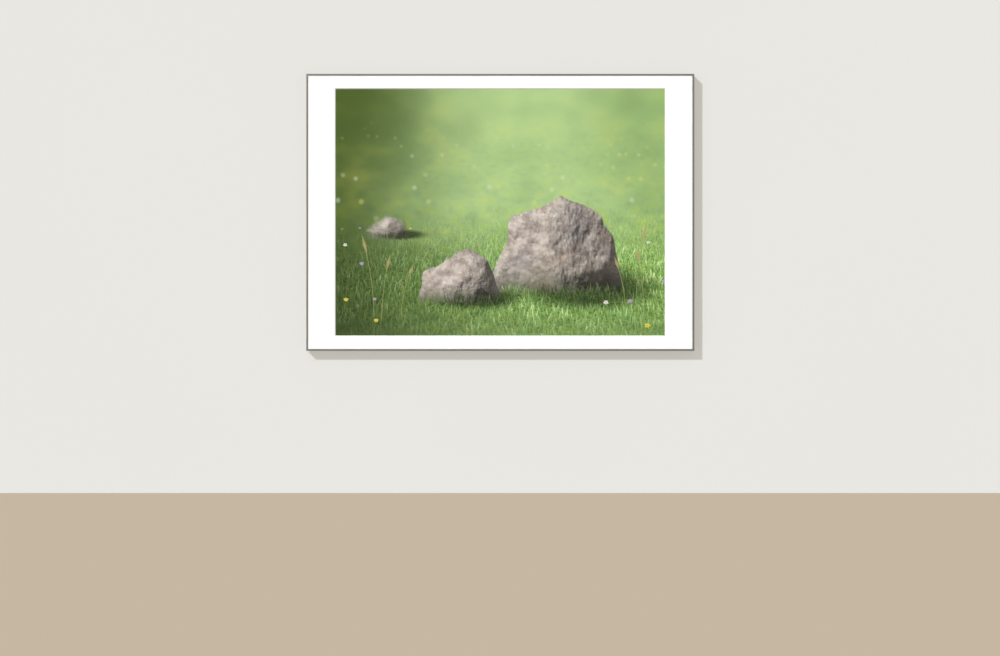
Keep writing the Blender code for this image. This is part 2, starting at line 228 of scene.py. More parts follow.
class Sums:
    """A node tree that is written as sums of its fields.

    A big tree is worked through in the order it was made, and it can't keep many numbers at a time. So a
    sum is held between limits by a node of its own, and a picture's layers are made one after another.
    """

    def __init__(self, tree):
        self.tree = tree

    def feed(self, socket, value):
        if isinstance(value, Field):
            self.tree.links.new(value.socket, socket)
        else:
            socket.default_value = value

    def node(self, kind, inputs, **settings):
        node = self.tree.nodes.new("ShaderNode" + kind)
        for name, value in settings.items():
            setattr(node, name, value)
        for key, value in inputs.items():
            self.feed(node.inputs[key], value)
        return node

    def field(self, kind, output, inputs, **settings):
        return Field(self, self.node(kind, inputs, **settings).outputs[output])

    def math(self, operation, *values):
        return self.field("Math", 0, dict(enumerate(values)), operation=operation)

    def fused(self, a, b, c):
        """a times b plus c."""
        return self.math("MULTIPLY_ADD", a, b, c)

    def held(self, a):
        """a, held between 0 and 1."""
        return self.field("Clamp", 0, {"Value": a})

    def maximum(self, a, b):
        return self.math("MAXIMUM", a, b)

    def floor(self, a):
        return self.math("FLOOR", a)

    def length(self, a, b):
        return self.math("SQRT", a * a + b * b)

    def smooth(self, start, end, value):
        """0 where the value is at the start, 1 at the end, with an eased ramp between them."""
        inputs = {"Value": value, "From Min": start, "From Max": end}
        return self.field("MapRange", 0, inputs, interpolation_type="SMOOTHSTEP", clamp=False)

    def ramp(self, start, end, value, low=0.0, high=1.0):
        """From low to high as the value goes from the start to the end, held beyond them."""
        share = self.held(self.fused(value, 1 / (end - start), start / (start - end)))
        return self.fused(share, high - low, low)

    def vector(self, x, y, z=0.0):
        return self.field("CombineXYZ", 0, {"X": x, "Y": y, "Z": z})

    def split(self, vector):
        node = self.node("SeparateXYZ", {"Vector": vector})
        return [Field(self, output) for output in node.outputs]

    def parts(self, colour):
        node = self.node("SeparateColor", {"Color": colour})
        return [Field(self, output) for output in node.outputs]

    def mix(self, factor, a, b, blend="MIX"):
        """Colour a, or b where the factor is 1. The node's colours are its inputs 6 and 7, and output 2."""
        return self.field("Mix", 2, {0: factor, 6: a, 7: b}, data_type="RGBA", blend_type=blend)

    def blend(self, factor, a, b):
        """Number a, or b where the factor is 1."""
        return self.field("Mix", 0, {0: factor, 2: a, 3: b}, data_type="FLOAT")

    def shade(self, colour, amount):
        """The colour, made brighter or darker by the amount."""
        grey = self.field("CombineColor", 0, {0: amount, 1: amount, 2: amount})
        return self.mix(1.0, colour, grey, "MULTIPLY")

    def noise(self, vector, scale, detail=2.0, roughness=0.5, distortion=0.0):
        inputs = {"Vector": vector, "Scale": scale, "Detail": detail, "Roughness": roughness,
                  "Distortion": distortion}
        return self.field("TexNoise", 0, inputs)

    def voronoi(self, vector, scale, output="Distance"):
        return self.field("TexVoronoi", output, {"Vector": vector, "Scale": scale})

    def chance(self, x, y, seed):
        """Three random numbers of 0 to 1 for each whole x and y."""
        one_number = self.fused(x, 0.7548777, self.fused(y, 0.5698403, seed))
        return self.parts(self.field("TexWhiteNoise", "Color", {"W": one_number}, noise_dimensions="1D"))

    def rolled(self, a, rolls):
        """Another random number of 0 to 1, from one of them."""
        return self.math("FRACT", a * rolls)

    def after(self, earlier, x, y):
        """x and y unchanged, but worked out after the earlier field is."""
        nothing = earlier * 1e-12
        return x + nothing, y + nothing

    def place(self):
        """Where a point of the surface is, in the row's frame."""
        return self.field("TexCoord", "Object", {})

    def use(self, recipe, *values):
        """What the recipe gives for these values."""
        node = self.node("Group", {}, node_tree=recipe.tree)
        for socket, value in zip(node.inputs, values):
            self.feed(socket, value)
        return [Field(self, output) for output in node.outputs]


class Graph(Sums):
    """The node tree of a new material."""

    def __init__(self, name):
        self.material = bpy.data.materials.new(name)
        self.material.use_nodes = True
        super().__init__(self.material.node_tree)
        self.shader = self.tree.nodes["Principled BSDF"]

    def bump(self, height, distance, strength=1.0):
        """Raises the surface by the height, where 1 is the distance in metres."""
        inputs = {"Height": height, "Distance": distance, "Strength": strength}
        normal = self.field("Bump", 0, inputs)
        self.feed(self.shader.inputs["Normal"], normal)


class Recipe(Sums):
    """A group of nodes that many places use, from the numbers given to the numbers made."""

    def __init__(self, name, inputs):
        super().__init__(bpy.data.node_groups.new(name, "ShaderNodeTree"))
        for label in inputs:
            self.tree.interface.new_socket(label, in_out="INPUT", socket_type="NodeSocketFloat")
        entry = self.tree.nodes.new("NodeGroupInput")
        self.given = [Field(self, output) for output in entry.outputs[:-1]]  # the last is always empty

    def gives(self, *fields):
        for i in range(len(fields)):
            self.tree.interface.new_socket(f"out_{i}", in_out="OUTPUT", socket_type="NodeSocketFloat")
        leave = self.tree.nodes.new("NodeGroupOutput")
        for socket, value in zip(leave.inputs, fields):
            self.feed(socket, value)
        return self


# Meshes, drawn in the row's frame

def piece(name, mesh, material, node):
    """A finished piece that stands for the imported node."""
    mesh.materials.clear()
    mesh.materials.append(material)
    obj = bpy.data.objects.new(name, mesh)
    bpy.context.scene.collection.objects.link(obj)
    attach(obj, "root")
    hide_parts(node)


def finished(work, name, smooth_angle=35):
    """A mesh of the drawn faces: smooth, but for edges past the angle and faces square to Y."""
    bmesh.ops.remove_doubles(work, verts=work.verts, dist=WELD_DISTANCE)
    bmesh.ops.recalc_face_normals(work, faces=work.faces)
    mesh = bpy.data.meshes.new(name)
    work.to_mesh(mesh)
    work.free()
    mesh.set_sharp_from_angle(angle=math.radians(smooth_angle))
    for face in mesh.polygons:
        face.use_smooth = abs(face.normal.y) < FLAT_NORMAL
    return mesh


def loft(work, rings):
    """A skin over rings of as many points each, closed at both ends."""
    loops = [[work.verts.new(point) for point in ring] for ring in rings]
    count = len(loops[0])
    for loop, following in zip(loops, loops[1:]):
        for i in range(count):
            j = (i + 1) % count
            work.faces.new((loop[i], loop[j], following[j], following[i]))
    work.faces.new(loops[0])
    work.faces.new(loops[-1])


def turned(work, profile, x, z):
    """A solid turned about the line along Y through (x, z), from (y, radius) pairs."""
    angles = [2 * math.pi * i / TURNED_SIDES for i in range(TURNED_SIDES)]
    rings = [
        [(x + radius * math.cos(a), y, z + radius * math.sin(a)) for a in angles]
        for y, radius in profile
    ]
    loft(work, rings)


def arc(centre, radius, start, end, steps):
    """Points along an arc, with its start and end in degrees."""
    angles = [math.radians(start + (end - start) * i / steps) for i in range(steps + 1)]
    return [(centre[0] + radius * math.cos(a), centre[1] + radius * math.sin(a)) for a in angles]


# Springs: bowed strips with rounded corners, feet that turn up, and softened edges

def spring_section(half_width, middle_y):
    """The strip cut across, as (across, y) points."""
    edge = min(SPRING_EDGE, half_width / 2)
    half = SPRING_GAUGE / 2
    points = []
    for sx, sy, start in ((1, 1, 0), (-1, 1, 90), (-1, -1, 180), (1, -1, 270)):
        corner = (sx * (half_width - edge), middle_y + sy * (half - edge))
        points += arc(corner, edge, start, start + 90, 3)
    return points


def spring_mesh(node, upright):
    """A strip whose middle presses on the backing board and whose ends bear on the rail."""
    low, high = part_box(node)
    centre = (low + high) / 2
    along, across = (high.z - low.z, high.x - low.x) if upright else (high.x - low.x, high.z - low.z)
    half_length, half_width = along / 2, across / 2
    bow = high.y - low.y - SPRING_GAUGE
    work = bmesh.new()
    rings = []
    for i in range(SPRING_STATIONS + 1):
        t = math.sin(math.pi / 2 * (2 * i / SPRING_STATIONS - 1))
        station = half_length * t
        past_corner = max(0.0, abs(station) - (half_length - SPRING_CORNER))
        inset = SPRING_CORNER - math.sqrt(max(0.0, SPRING_CORNER ** 2 - past_corner ** 2))
        past_foot = max(0.0, abs(station) - (half_length - SPRING_FOOT)) / SPRING_FOOT
        y = low.y + SPRING_GAUGE / 2 + bow * abs(t) ** SPRING_BEND - SPRING_FOOT_LIFT * past_foot ** 2
        ring = spring_section(half_width - inset, y)
        if upright:
            rings.append([(centre.x + across_at, y_at, centre.z + station) for across_at, y_at in ring])
        else:
            rings.append([(centre.x + station, y_at, centre.z + across_at) for across_at, y_at in ring])
    loft(work, rings)
    return finished(work, node, 40)


# The hanger: a pressed plate with a toothed window, and the screws that hold it

def rounded_rectangle(left, bottom, right, top, radius, steps=8):
    """The outline of a plate with round corners, as (x, z) points."""
    points = arc((right - radius, top - radius), radius, 0, 90, steps)
    points += arc((left + radius, top - radius), radius, 90, 180, steps)
    points += arc((left + radius, bottom + radius), radius, 180, 270, steps)
    points += arc((right - radius, bottom + radius), radius, 270, 360, steps)
    return points


def softened(points, radius):
    """The outline with each corner cut back to a small curve of three points."""
    soft = []
    for i, point in enumerate(points):
        here = Vector(point)
        before = Vector(points[i - 1]) - here
        after = Vector(points[(i + 1) % len(points)]) - here
        reach = min(radius, before.length / 2.5, after.length / 2.5)
        start, end = here + before.normalized() * reach, here + after.normalized() * reach
        soft += [start, (start + end + 2 * here) / 4, end]
    return [(p.x, p.y) for p in soft]


def hanger_window():
    """The window's outline as (x, z), with teeth along its top whose valleys are level with the origin."""
    half = HANGER_WINDOW_WIDTH / 2
    pitch = HANGER_WINDOW_WIDTH / TOOTH_COUNT
    corner = HANGER_WINDOW_CORNER
    teeth = [(half, 0.0)]
    for i in range(TOOTH_COUNT):
        valley = half - i * pitch
        teeth.append((valley - pitch / 2, -TOOTH_HEIGHT))
        teeth.append((valley - pitch, 0.0))
    points = arc((-half + corner, -HANGER_WINDOW_HEIGHT + corner), corner, 180, 270, 8)
    points += arc((half - corner, -HANGER_WINDOW_HEIGHT + corner), corner, 270, 360, 8)
    return points + softened(teeth, TOOTH_ROUND)[1:-1]


def bevelled_plate(name, outlines, low_y, high_y, edge):
    """A plate square to Y, with its own outline first and its openings after, and softened edges on all."""
    curve = bpy.data.curves.new(name, "CURVE")
    curve.dimensions = "2D"
    curve.fill_mode = "BOTH"
    curve.extrude = (high_y - low_y) / 2 - edge
    curve.bevel_depth = edge
    curve.bevel_resolution = 2
    curve.offset = -edge
    for outline in outlines:
        spline = curve.splines.new("POLY")
        spline.points.add(len(outline) - 1)
        for point, (x, z) in zip(spline.points, outline):
            point.co = (x, z, 0, 1)
        spline.use_cyclic_u = True
    flat = bpy.data.objects.new(name, curve)
    bpy.context.scene.collection.objects.link(flat)
    graph = bpy.context.evaluated_depsgraph_get()
    mesh = bpy.data.meshes.new_from_object(flat.evaluated_get(graph), depsgraph=graph)
    bpy.data.objects.remove(flat)
    upright = Matrix.Translation((0, (low_y + high_y) / 2, 0)) @ Matrix.Rotation(math.pi / 2, 4, "X")
    mesh.transform(upright)
    work = bmesh.new()
    work.from_mesh(mesh)
    return finished(work, name)


def hanger_mesh():
    """The plate with its toothed window and a hole for each screw."""
    low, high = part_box("hanger")
    outlines = [rounded_rectangle(low.x, low.z, high.x, high.z, HANGER_CORNER), hanger_window()]
    for number in (1, 2, 3):
        screw_low, screw_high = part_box(f"hanger_screw_{number}")
        middle = (screw_low + screw_high) / 2
        outlines.append(arc((middle.x, middle.z), SCREW_HOLE_RADIUS, 0, 345, 23))
    return bevelled_plate("hanger_plate", outlines, low.y, high.y, HANGER_EDGE)


def screw_mesh(node):
    """A pan-head screw with its round nut, and a cross recess."""
    low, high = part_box(node)
    x, z = (low.x + high.x) / 2, (low.z + high.z) / 2
    head_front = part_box("hanger")[1].y + HANGER_GAP
    nut_front = low.y + SCREW_TIP
    nut_back = nut_front + NUT_HEIGHT
    profile = [
        (low.y, INNER_RADIUS),
        (low.y, SCREW_SHANK_RADIUS - NUT_EDGE),
        (low.y + NUT_EDGE, SCREW_SHANK_RADIUS),
        (nut_front, SCREW_SHANK_RADIUS),
        (nut_front, NUT_RADIUS - NUT_EDGE),
        (nut_front + NUT_EDGE, NUT_RADIUS),
        (nut_back - NUT_EDGE, NUT_RADIUS),
        (nut_back, NUT_RADIUS - NUT_EDGE),
        (nut_back, SCREW_SHANK_RADIUS),
        (head_front, SCREW_SHANK_RADIUS),
        (head_front, SCREW_HEAD_RADIUS - SCREW_HEAD_EDGE),
        (head_front + SCREW_HEAD_EDGE, SCREW_HEAD_RADIUS),
    ]
    for degrees in range(0, 81, 10):
        angle = math.radians(degrees)
        radius = SCREW_HEAD_RADIUS * (SCREW_FLAT + (1 - SCREW_FLAT) * math.cos(angle))
        profile.append((high.y - SCREW_CROWN * (1 - math.sin(angle)), radius))
    work = bmesh.new()
    turned(work, profile, x, z)
    mesh = finished(work, node)
    arm, half = RECESS_LENGTH / 2, RECESS_WIDTH / 2
    floor, above = high.y - RECESS_DEPTH, high.y + RECESS_DEPTH
    cutters = [((x - arm, floor, z - half), (x + arm, above, z + half))]
    cutters.append(((x - half, floor, z - arm), (x + half, above, z + arm)))
    return cut(mesh, cutters)


def cut(mesh, boxes):
    """The mesh with each box, given by two corners, taken away from it."""
    scene = bpy.context.scene.collection
    body = bpy.data.objects.new(mesh.name + "_uncut", mesh)
    scene.objects.link(body)
    tools = []
    for low, high in boxes:
        low, high = Vector(low), Vector(high)
        work = bmesh.new()
        place = Matrix.Translation((low + high) / 2) @ Matrix.Diagonal((*(high - low), 1.0))
        bmesh.ops.create_cube(work, size=1.0, matrix=place)
        tool = bpy.data.objects.new("cutter", finished(work, "cutter"))
        scene.objects.link(tool)
        tools.append(tool)
        boolean = body.modifiers.new("cut", "BOOLEAN")
        boolean.operation = "DIFFERENCE"
        boolean.object = tool
    graph = bpy.context.evaluated_depsgraph_get()
    result = bpy.data.meshes.new_from_object(body.evaluated_get(graph), depsgraph=graph)
    for helper in (body, *tools):
        bpy.data.objects.remove(helper)
    work = bmesh.new()
    work.from_mesh(result)
    return finished(work, mesh.name)


# Bumpers: soft domes with a shallow ring pressed into the face that meets the wall

def bumper_mesh(node):
    """A bumper turned from its front rim, round its back edge, to the dimple."""
    low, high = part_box(node)
    radius = (high.x - low.x) / 2
    x, z = (low.x + high.x) / 2, (low.z + high.z) / 2
    profile = [(low.y, INNER_RADIUS), (low.y, radius - BUMPER_RIM), (low.y + BUMPER_RIM, radius)]
    for i in range(BUMPER_STEPS + 1):
        angle = math.radians(90 * i / BUMPER_STEPS)
        y = high.y - BUMPER_EDGE * (1 - math.sin(angle))
        profile.append((y, radius - BUMPER_EDGE * (1 - math.cos(angle))))
    dimple = BUMPER_DIMPLE_RADIUS
    profile += [(high.y, dimple + 2 * BUMPER_DIMPLE_DEPTH), (high.y - BUMPER_DIMPLE_DEPTH, dimple)]
    profile.append((high.y - BUMPER_DIMPLE_DEPTH, INNER_RADIUS))
    work = bmesh.new()
    turned(work, profile, x, z)
    return finished(work, node)


# The print: a thin sheet with eased edges, whose picture side takes nearly the whole of its texture

def print_mesh():
    """The sheet with its texture's layout: the picture above, and a narrow strip below for all the rest."""
    size = PRINT_HIGH - PRINT_LOW
    work = bmesh.new()
    place = Matrix.Translation(PRINT_CENTRE) @ Matrix.Diagonal((*size, 1.0))
    bmesh.ops.create_cube(work, size=1.0, matrix=place)
    bmesh.ops.bevel(work, geom=work.edges[:], offset=PRINT_EDGE, segments=2, profile=0.5, affect="EDGES")
    work.normal_update()
    layer = work.loops.layers.uv.new("OFBake")
    for face in work.faces:
        for loop in face.loops:
            across = (loop.vert.co.x - PRINT_LOW.x) / size.x
            up = (loop.vert.co.z - PRINT_LOW.z) / size.z
            back = (loop.vert.co.y - PRINT_LOW.y) / size.y
            if face.normal.y < -0.5:
                loop[layer].uv = (across, PRINT_EDGE_STRIP + up * (1 - PRINT_EDGE_STRIP))
            else:
                loop[layer].uv = (across, (up + back) / 2 * PRINT_EDGE_STRIP * PRINT_STRIP_USED)
    return finished(work, "print_sheet")


# Materials of the frame and its fittings

def dress(node, material):
    """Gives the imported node, which stays in view, its material."""
    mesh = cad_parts[node].data
    mesh.materials.clear()
    mesh.materials.append(material)


def brushed_aluminium(name, along_x):
    """Warm grey anodised metal with fine scratches along the rail."""
    g = Graph(name)
    x, y, z = g.split(g.place())
    along, across = (x, z) if along_x else (z, x)
    fine = g.noise(g.vector(along * 14, across * 2600, y * 2600), 1.0, 2.0, 0.6)
    broad = g.noise(g.vector(along * 3, across * 420, y * 420), 1.0, 2.0, 0.5)
    cloud = g.noise(g.vector(along * 9, across * 30, y * 30), 1.0, 2.0, 0.5)
    streak = fine * 0.55 + broad * 0.45
    shade = g.ramp(0.3, 0.7, streak, 0.86, 1.12) * g.ramp(0.3, 0.7, cloud, 0.97, 1.03)
    base = g.mix(g.ramp(0.3, 0.75, broad), srgb(145, 142, 134), srgb(155, 152, 144))
    colour = g.shade(base, shade)
    g.feed(g.shader.inputs["Base Color"], colour)
    g.feed(g.shader.inputs["Roughness"], g.ramp(0.3, 0.7, streak, 0.44, 0.31))
    g.shader.inputs["Metallic"].default_value = 1.0
    g.bump(streak, 0.00004, 0.6)
    return g.material


def clear_glass():
    """Thin picture glass with an anti-reflection coat: clear face on, with a faint sheen at a slant."""
    g = Graph("picture_glass")
    g.tree.nodes.remove(g.shader)
    x, y, z = g.split(g.place())
    haze = g.noise(g.vector(x * 5, y, z * 5), 1.0, 3.0, 0.55)
    clear = g.field("BsdfTransparent", 0, {"Color": g.mix(haze, srgb(254, 255, 254), srgb(255, 255, 255))})
    sheen = g.field("BsdfGlossy", 0, {"Roughness": g.ramp(0, 1, haze, 0.01, 0.05)})
    outside = 1.0 - g.field("NewGeometry", "Backfacing", {})
    share = g.field("Fresnel", 0, {"IOR": GLASS_COAT_IOR}) * outside
    mixed = g.field("MixShader", 0, {0: share, 1: clear, 2: sheen})
    g.feed(g.tree.nodes["Material Output"].inputs["Surface"], mixed)
    return g.material


def mat_paper():
    """White board with a faint tooth, and a brighter core where the window's rim is cut."""
    g = Graph("mat_paper")
    place = g.place()
    x, y, z = g.split(place)
    fibre = g.noise(place, 900.0, 3.0, 0.6, 0.4)
    cloud = g.noise(place, 22.0, 2.0, 0.5)
    flecks = g.voronoi(g.vector(x, y, z * 0.35), 260.0)
    shade = g.ramp(0.25, 0.75, fibre, 0.985, 1.0) * g.ramp(0.3, 0.7, cloud, 0.992, 1.0)
    shade = shade * g.ramp(0.0, 0.12, flecks, 0.985, 1.0)
    half_width = abs(x - PRINT_CENTRE.x)
    half_height = abs(z - PRINT_CENTRE.z)
    outside = g.maximum(half_width - WINDOW_HEIGHT * WINDOW_SHAPE / 2, half_height - WINDOW_HEIGHT / 2)
    face = g.ramp(MAT_CORE - 0.0001, MAT_CORE + 0.0001, outside)
    colour = g.mix(face, srgb(247, 246, 243), srgb(242, 241, 238))
    colour = g.shade(colour, shade)
    g.feed(g.shader.inputs["Base Color"], colour)
    g.feed(g.shader.inputs["Roughness"], g.ramp(0.3, 0.7, fibre, 0.82, 0.95))
    g.shader.inputs["Specular IOR Level"].default_value = 0.25
    g.bump(fibre, 0.00005, 0.5)
    return g.material


def hardboard():
    """Pressed brown fibreboard: matted fibres, dark flecks and a faint cloudiness."""
    g = Graph("hardboard")
    place = g.place()
    x, y, z = g.split(place)
    cloud = g.noise(place, 6.0, 4.0, 0.55)
    mat = g.noise(place, 210.0, 5.0, 0.65, 1.4)
    warp = g.noise(place, 60.0, 2.0, 0.5) * 0.02
    strands = 0.0
    for angle in (12, 71, 133):
        turn = math.radians(angle)
        along = x * math.cos(turn) + z * math.sin(turn)
        across = z * math.cos(turn) - x * math.sin(turn) + warp
        layer = g.noise(g.vector(along * 110, y * 110, across * 640), 1.0, 3.0, 0.6, 0.6)
        strands = g.maximum(strands, layer)
    fleck = g.voronoi(g.vector(x, y, z * 0.5), 420.0)
    fibre = strands * 0.45 + mat * 0.55
    colour = g.mix(g.ramp(0.35, 0.68, fibre), srgb(118, 84, 56), srgb(156, 118, 83))
    colour = g.mix(g.ramp(0.3, 0.7, cloud) * 0.45, colour, srgb(112, 78, 50))
    colour = g.mix(g.ramp(0.16, 0.05, fleck) * 0.6, colour, srgb(70, 45, 28))
    g.feed(g.shader.inputs["Base Color"], colour)
    g.feed(g.shader.inputs["Roughness"], g.ramp(0.3, 0.7, fibre, 0.6, 0.85))
    g.shader.inputs["Specular IOR Level"].default_value = 0.3
    g.bump(fibre, 0.00012, 0.7)
    return g.material


def zinc_plate():
    """Bright zinc plating: a fine spangle, a bluish cast, and light rolling marks."""
    g = Graph("zinc_plate")
    place = g.place()
    x, y, z = g.split(place)
    grain, _, _ = g.parts(g.voronoi(place, 340.0, output="Color"))
    rolled = g.noise(g.vector(x * 60, y * 60, z * 1500), 1.0, 2.0, 0.6)
    cloud = g.noise(place, 45.0, 3.0, 0.5)
    shade = g.ramp(0.0, 1.0, grain, 0.9, 1.06) * g.ramp(0.3, 0.7, rolled, 0.95, 1.04)
    colour = g.mix(g.ramp(0.35, 0.65, cloud), srgb(192, 193, 190), srgb(201, 205, 208))
    colour = g.shade(colour, shade)
    g.feed(g.shader.inputs["Base Color"], colour)
    dullness = g.ramp(0.0, 1.0, grain, 0.28, 0.42) + g.ramp(0.4, 0.7, cloud) * 0.06
    g.feed(g.shader.inputs["Roughness"], dullness)
    g.shader.inputs["Metallic"].default_value = 1.0
    g.bump(grain * 0.4 + rolled * 0.6, 0.00003, 0.5)
    return g.material


def blued_steel():
    """Spring steel, blued by heat, with patches of brown and a fine grinding grain."""
    g = Graph("blued_steel")
    place = g.place()
    x, y, z = g.split(place)
    tint = g.noise(place, 38.0, 3.0, 0.5)
    ground = g.noise(g.vector(x * 900, y * 200, z * 900), 1.0, 3.0, 0.6)
    colour = g.mix(g.ramp(0.35, 0.6, tint), srgb(82, 88, 104), srgb(104, 103, 108))
    colour = g.mix(g.ramp(0.58, 0.75, tint) * 0.6, colour, srgb(118, 98, 84))
    shade = g.ramp(0.3, 0.7, ground, 0.85, 1.12)
    colour = g.shade(colour, shade)
    g.feed(g.shader.inputs["Base Color"], colour)
    g.feed(g.shader.inputs["Roughness"], g.ramp(0.3, 0.7, ground, 0.24, 0.4))
    g.shader.inputs["Metallic"].default_value = 1.0
    g.bump(ground, 0.00002, 0.5)
    return g.material


def black_rubber():
    """Matt black rubber with a fine grain and a dusty bloom."""
    g = Graph("black_rubber")
    place = g.place()
    grain = g.noise(place, 1800.0, 3.0, 0.6)
    bloom = g.noise(place, 260.0, 3.0, 0.55)
    colour = g.mix(g.ramp(0.45, 0.75, bloom) * 0.6, srgb(38, 38, 38), srgb(66, 65, 63))
    g.feed(g.shader.inputs["Base Color"], colour)
    g.feed(g.shader.inputs["Roughness"], g.ramp(0.3, 0.7, grain, 0.6, 0.85))
    g.bump(grain, 0.00006, 0.6)
    return g.material


# The print's picture: a mountain meadow with boulders and flowers, sharp in front and soft further off

def picture_place(g):
    """The picture's own x and y."""
    x, _, z = g.split(g.place())
    return (
        (x - PRINT_CENTRE.x) * (1 / WINDOW_HEIGHT) + MIDDLE_X,
        (z - PRINT_CENTRE.z) * (1 / WINDOW_HEIGHT) + 0.5,
    )


def distance_in_rows(g, y, rows):
    """How many rows off the ground at the height y is."""
    return g.math("LOGARITHM", VANISHING_Y - y, math.e) * -rows


def row_scale(g, row, rows):
    """How large the middle of a row looks, which shrinks as the rows go off."""
    return g.math("EXPONENT", (row + 0.5) * (-1 / rows))


def receding(g, x, y, rows):
    """Ground coordinates whose cells look smaller further off, at the same rate both ways."""
    return (x - MIDDLE_X) / (VANISHING_Y - y) * rows, distance_in_rows(g, y, rows)


def backdrop(g, x, y):
    """Far grass, out of focus: light in the middle and on the right, dark in the top left corner."""
    haze = g.noise(g.vector(x, y, 0.0), 2.1, 2.0, 0.5)
    across, up = x + (haze - 0.5) * 0.18, y + (haze - 0.5) * 0.2
    colour = g.mix(g.smooth(-0.05, 0.62, across), srgb(86, 106, 52), srgb(178, 206, 142))
    colour = g.mix(g.smooth(1.15, 1.5, across + up * 0.3) * 0.6, colour, srgb(138, 168, 98))
    corner = g.length(across + 0.05, up - 1.05)
    colour = g.mix(g.smooth(0.8, 0.05, corner) * 0.85, colour, srgb(80, 98, 38))
    glow = g.length(across - 0.70, up - 0.98)
    colour = g.mix(g.smooth(0.5, 0.0, glow) * 0.5, colour, srgb(186, 212, 142))
    near = g.mix(g.smooth(0.0, 0.8, across), srgb(66, 80, 40), srgb(124, 152, 88))
    colour = g.mix(g.smooth(0.40, 0.0, up) * 0.7, colour, near)
    patch = g.noise(g.vector(x, y * 1.5, 4.0), 6.0, 1.5, 0.45)
    warm = g.mix(0.16, g.shade(colour, 1.12), srgb(190, 178, 80))
    colour = g.mix(g.smooth(0.45, 0.8, patch), colour, warm)
    colour = g.shade(colour, g.smooth(0.2, 0.6, patch) * 0.12 + 0.9)
    coarse = g.noise(g.vector(x, y * 1.4, 7.0), 19.0, 2.0, 0.5)
    fine = g.noise(g.vector(x, y * 1.4, 8.0), 32.0, 2.0, 0.5)
    blur = g.blend(g.smooth(0.45, 0.8, y), coarse, fine)
    strength = g.smooth(1.0, 0.4, y) * 0.75
    colour = g.mix(g.smooth(0.48, 0.68, blur) * strength, colour, srgb(255, 246, 200), "MULTIPLY")
    return g.shade(colour, 1.0 + (blur - 0.5) * strength)


def blade_recipe():
    """One blade drawn over what is under it, as numbers: how bright, which tint, how much covered."""
    inputs = ("u", "v", "column", "row", "seed", "sway", "crisp", "in_front", "bright", "tint", "covered")
    r = Recipe("blade", inputs)
    u, v, column, row, seed, sway, crisp, in_front, bright, tint, covered = r.given
    a, b, c = r.chance(column, row, seed)
    d, e, f = r.rolled(a, 61.7), r.rolled(b, 71.3), r.rolled(c, 53.1)
    along = (v - a * 0.8) / r.fused(b, 0.8 * BLADE_LENGTH, 0.6 * BLADE_LENGTH)
    middle = r.fused(r.fused(d, BLADE_CURL, sway), along, r.fused(c, 0.9, -0.45))
    middle = r.fused(r.fused(e, 2 * BLADE_CURL, -BLADE_CURL), along * along, middle)
    inside = r.fused(along, -BLADE_WIDTH, BLADE_WIDTH) - abs(u - column - 0.5 - middle)
    cover = r.held(r.fused(inside, crisp, 0.35)) * r.held(along * 7.0)
    lit = r.fused(along, 0.5, 0.12) + f * r.fused(along, 0.55, 0.1)
    return r.gives(
        r.blend(cover, bright, lit),
        r.blend(cover, tint, c),
        r.blend(cover * in_front, covered, 1.0),
    )


def grass(g, x, y, rows, seed, blade, under):
    """Rows of blades over the ground, the far rows first. Blades reach into the cells around their own."""
    depth = distance_in_rows(g, y, rows)
    last = g.floor(depth)
    crisp = g.ramp(0.02, 0.25, abs(y - FOCUS_Y), 11.0, 2.6)
    # The height of the boulders' feet here, which only the blades in front of them cover
    base = g.blend(g.smooth(0.30, 0.34, x), BOULDERS[0][1], BOULDERS[2][1])
    base = g.blend(g.smooth(0.63, 0.68, x), base, BOULDERS[1][1])
    for back in (0, 1, 2):
        row = last - back
        scale = row_scale(g, row, rows)
        in_front = g.smooth(-0.004, 0.008, base - VANISHING_Y + scale)
        u = (x - MIDDLE_X) / scale * rows + row * GRASS_ROW_SHIFT
        sway = g.noise(g.vector(u * 0.23, row * 0.9, seed), 1.0, 1.0) * 3.0 - 1.75
        u, v = g.after(sway, u, depth - row)
        first = g.floor(u)
        for side in (-1, 0, 1):
            under = g.use(blade, u, v, first + side, row, seed, sway, crisp, in_front, *under)
    return under


def boulder_recipe(seed):
    """How far a boulder stands out at (p, q), which run from -1 to 1 across it and from 0 to 1 up it."""
    dice = random.Random(seed)
    r = Recipe(f"boulder_{seed}", ("p", "q"))
    p, q = r.given
    bend = r.noise(r.vector(p, q, seed), 1.3, 3.0, 0.5)
    p = r.fused(bend, 0.30, p - 0.15)
    q = r.fused(bend, -0.22, q + 0.11)

    def facet(angle, reach, steepness, level):
        angle = math.radians(angle)
        away = r.fused(p, -steepness * math.cos(angle), level + steepness * reach)
        return r.fused(q, -steepness * math.sin(angle), away)

    height = facet(dice.uniform(20, 60), 0.0, dice.uniform(0.15, 0.3), 0.92)
    for i in range(OUTER_FACETS):
        angle = -12 + 204 * i / (OUTER_FACETS - 1) + dice.uniform(-10, 10)
        outer = facet(angle, dice.uniform(0.88, 1.0), dice.uniform(2.4, 4.0), 0.0)
        height = r.math("SMOOTH_MIN", height, outer, 0.12)
    for i in range(INNER_FACETS):
        angle = 4 + 172 * i / (INNER_FACETS - 1) + dice.uniform(-18, 18)
        inner = facet(angle, dice.uniform(0.40, 0.66), dice.uniform(0.8, 1.7), 0.55)
        height = r.math("SMOOTH_MIN", height, inner, 0.05)
    grit = r.noise(r.vector(p, q, seed + 3.0), 4.2, 7.0, 0.62)
    return r.gives(r.fused(grit, 0.22, height - 0.13))


